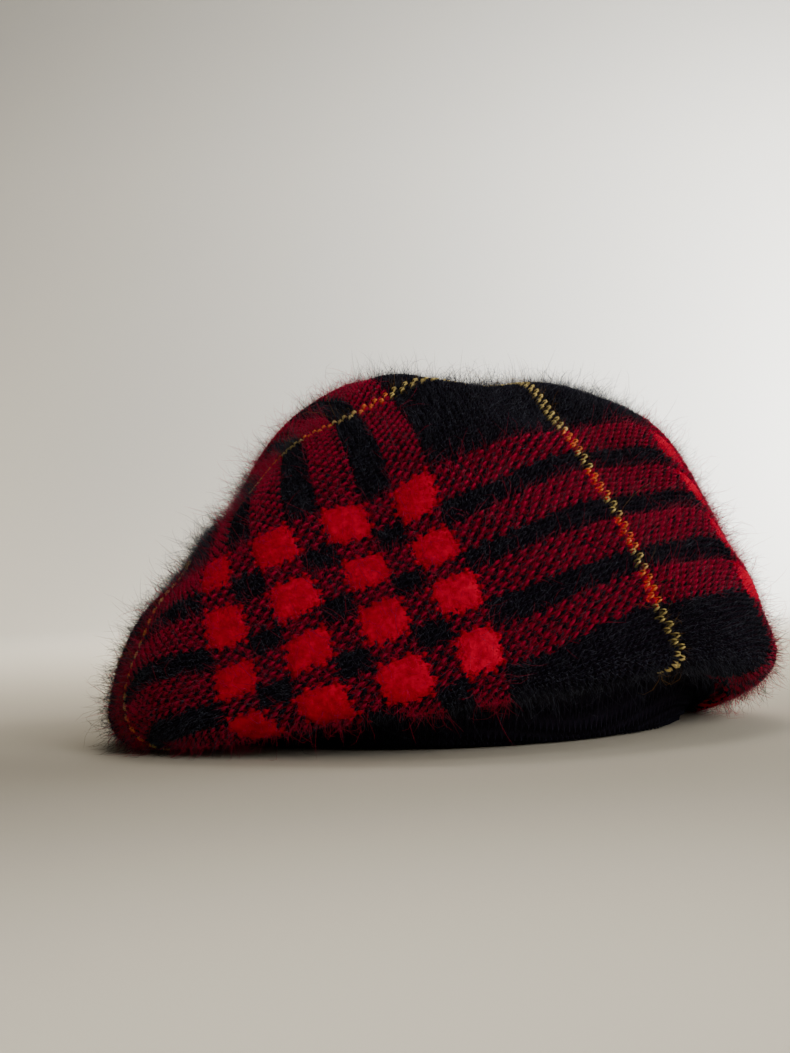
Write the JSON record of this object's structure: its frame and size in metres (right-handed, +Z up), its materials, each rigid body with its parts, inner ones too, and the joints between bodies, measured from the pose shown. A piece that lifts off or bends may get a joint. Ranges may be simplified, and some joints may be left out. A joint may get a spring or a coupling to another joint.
{
  "type": "tam o shanter",
  "caption": "Soft knitted tam o shanter: a slouched one-piece crown rolled under at the rim, a lower panel and a turned-up head band, resting open side down.",
  "frame": {"origin": "middle of the bounding box at the level that the hat rests on", "axes": "+Z up, +X to the right seen from the front, -Y towards the front of the hat"},
  "size_m": [0.2081, 0.195, 0.1138],
  "materials": {
    "crown_knit": "brushed wool and angora knit, red and black tartan with a yellow line",
    "underside_knit": "brushed knit, black with dark red",
    "headband_knit": "black rib knit"
  },
  "bodies": {
    "root": {"crown": "crown_knit", "underside": "underside_knit", "headband": "headband_knit"}
  },
  "joints": []
}
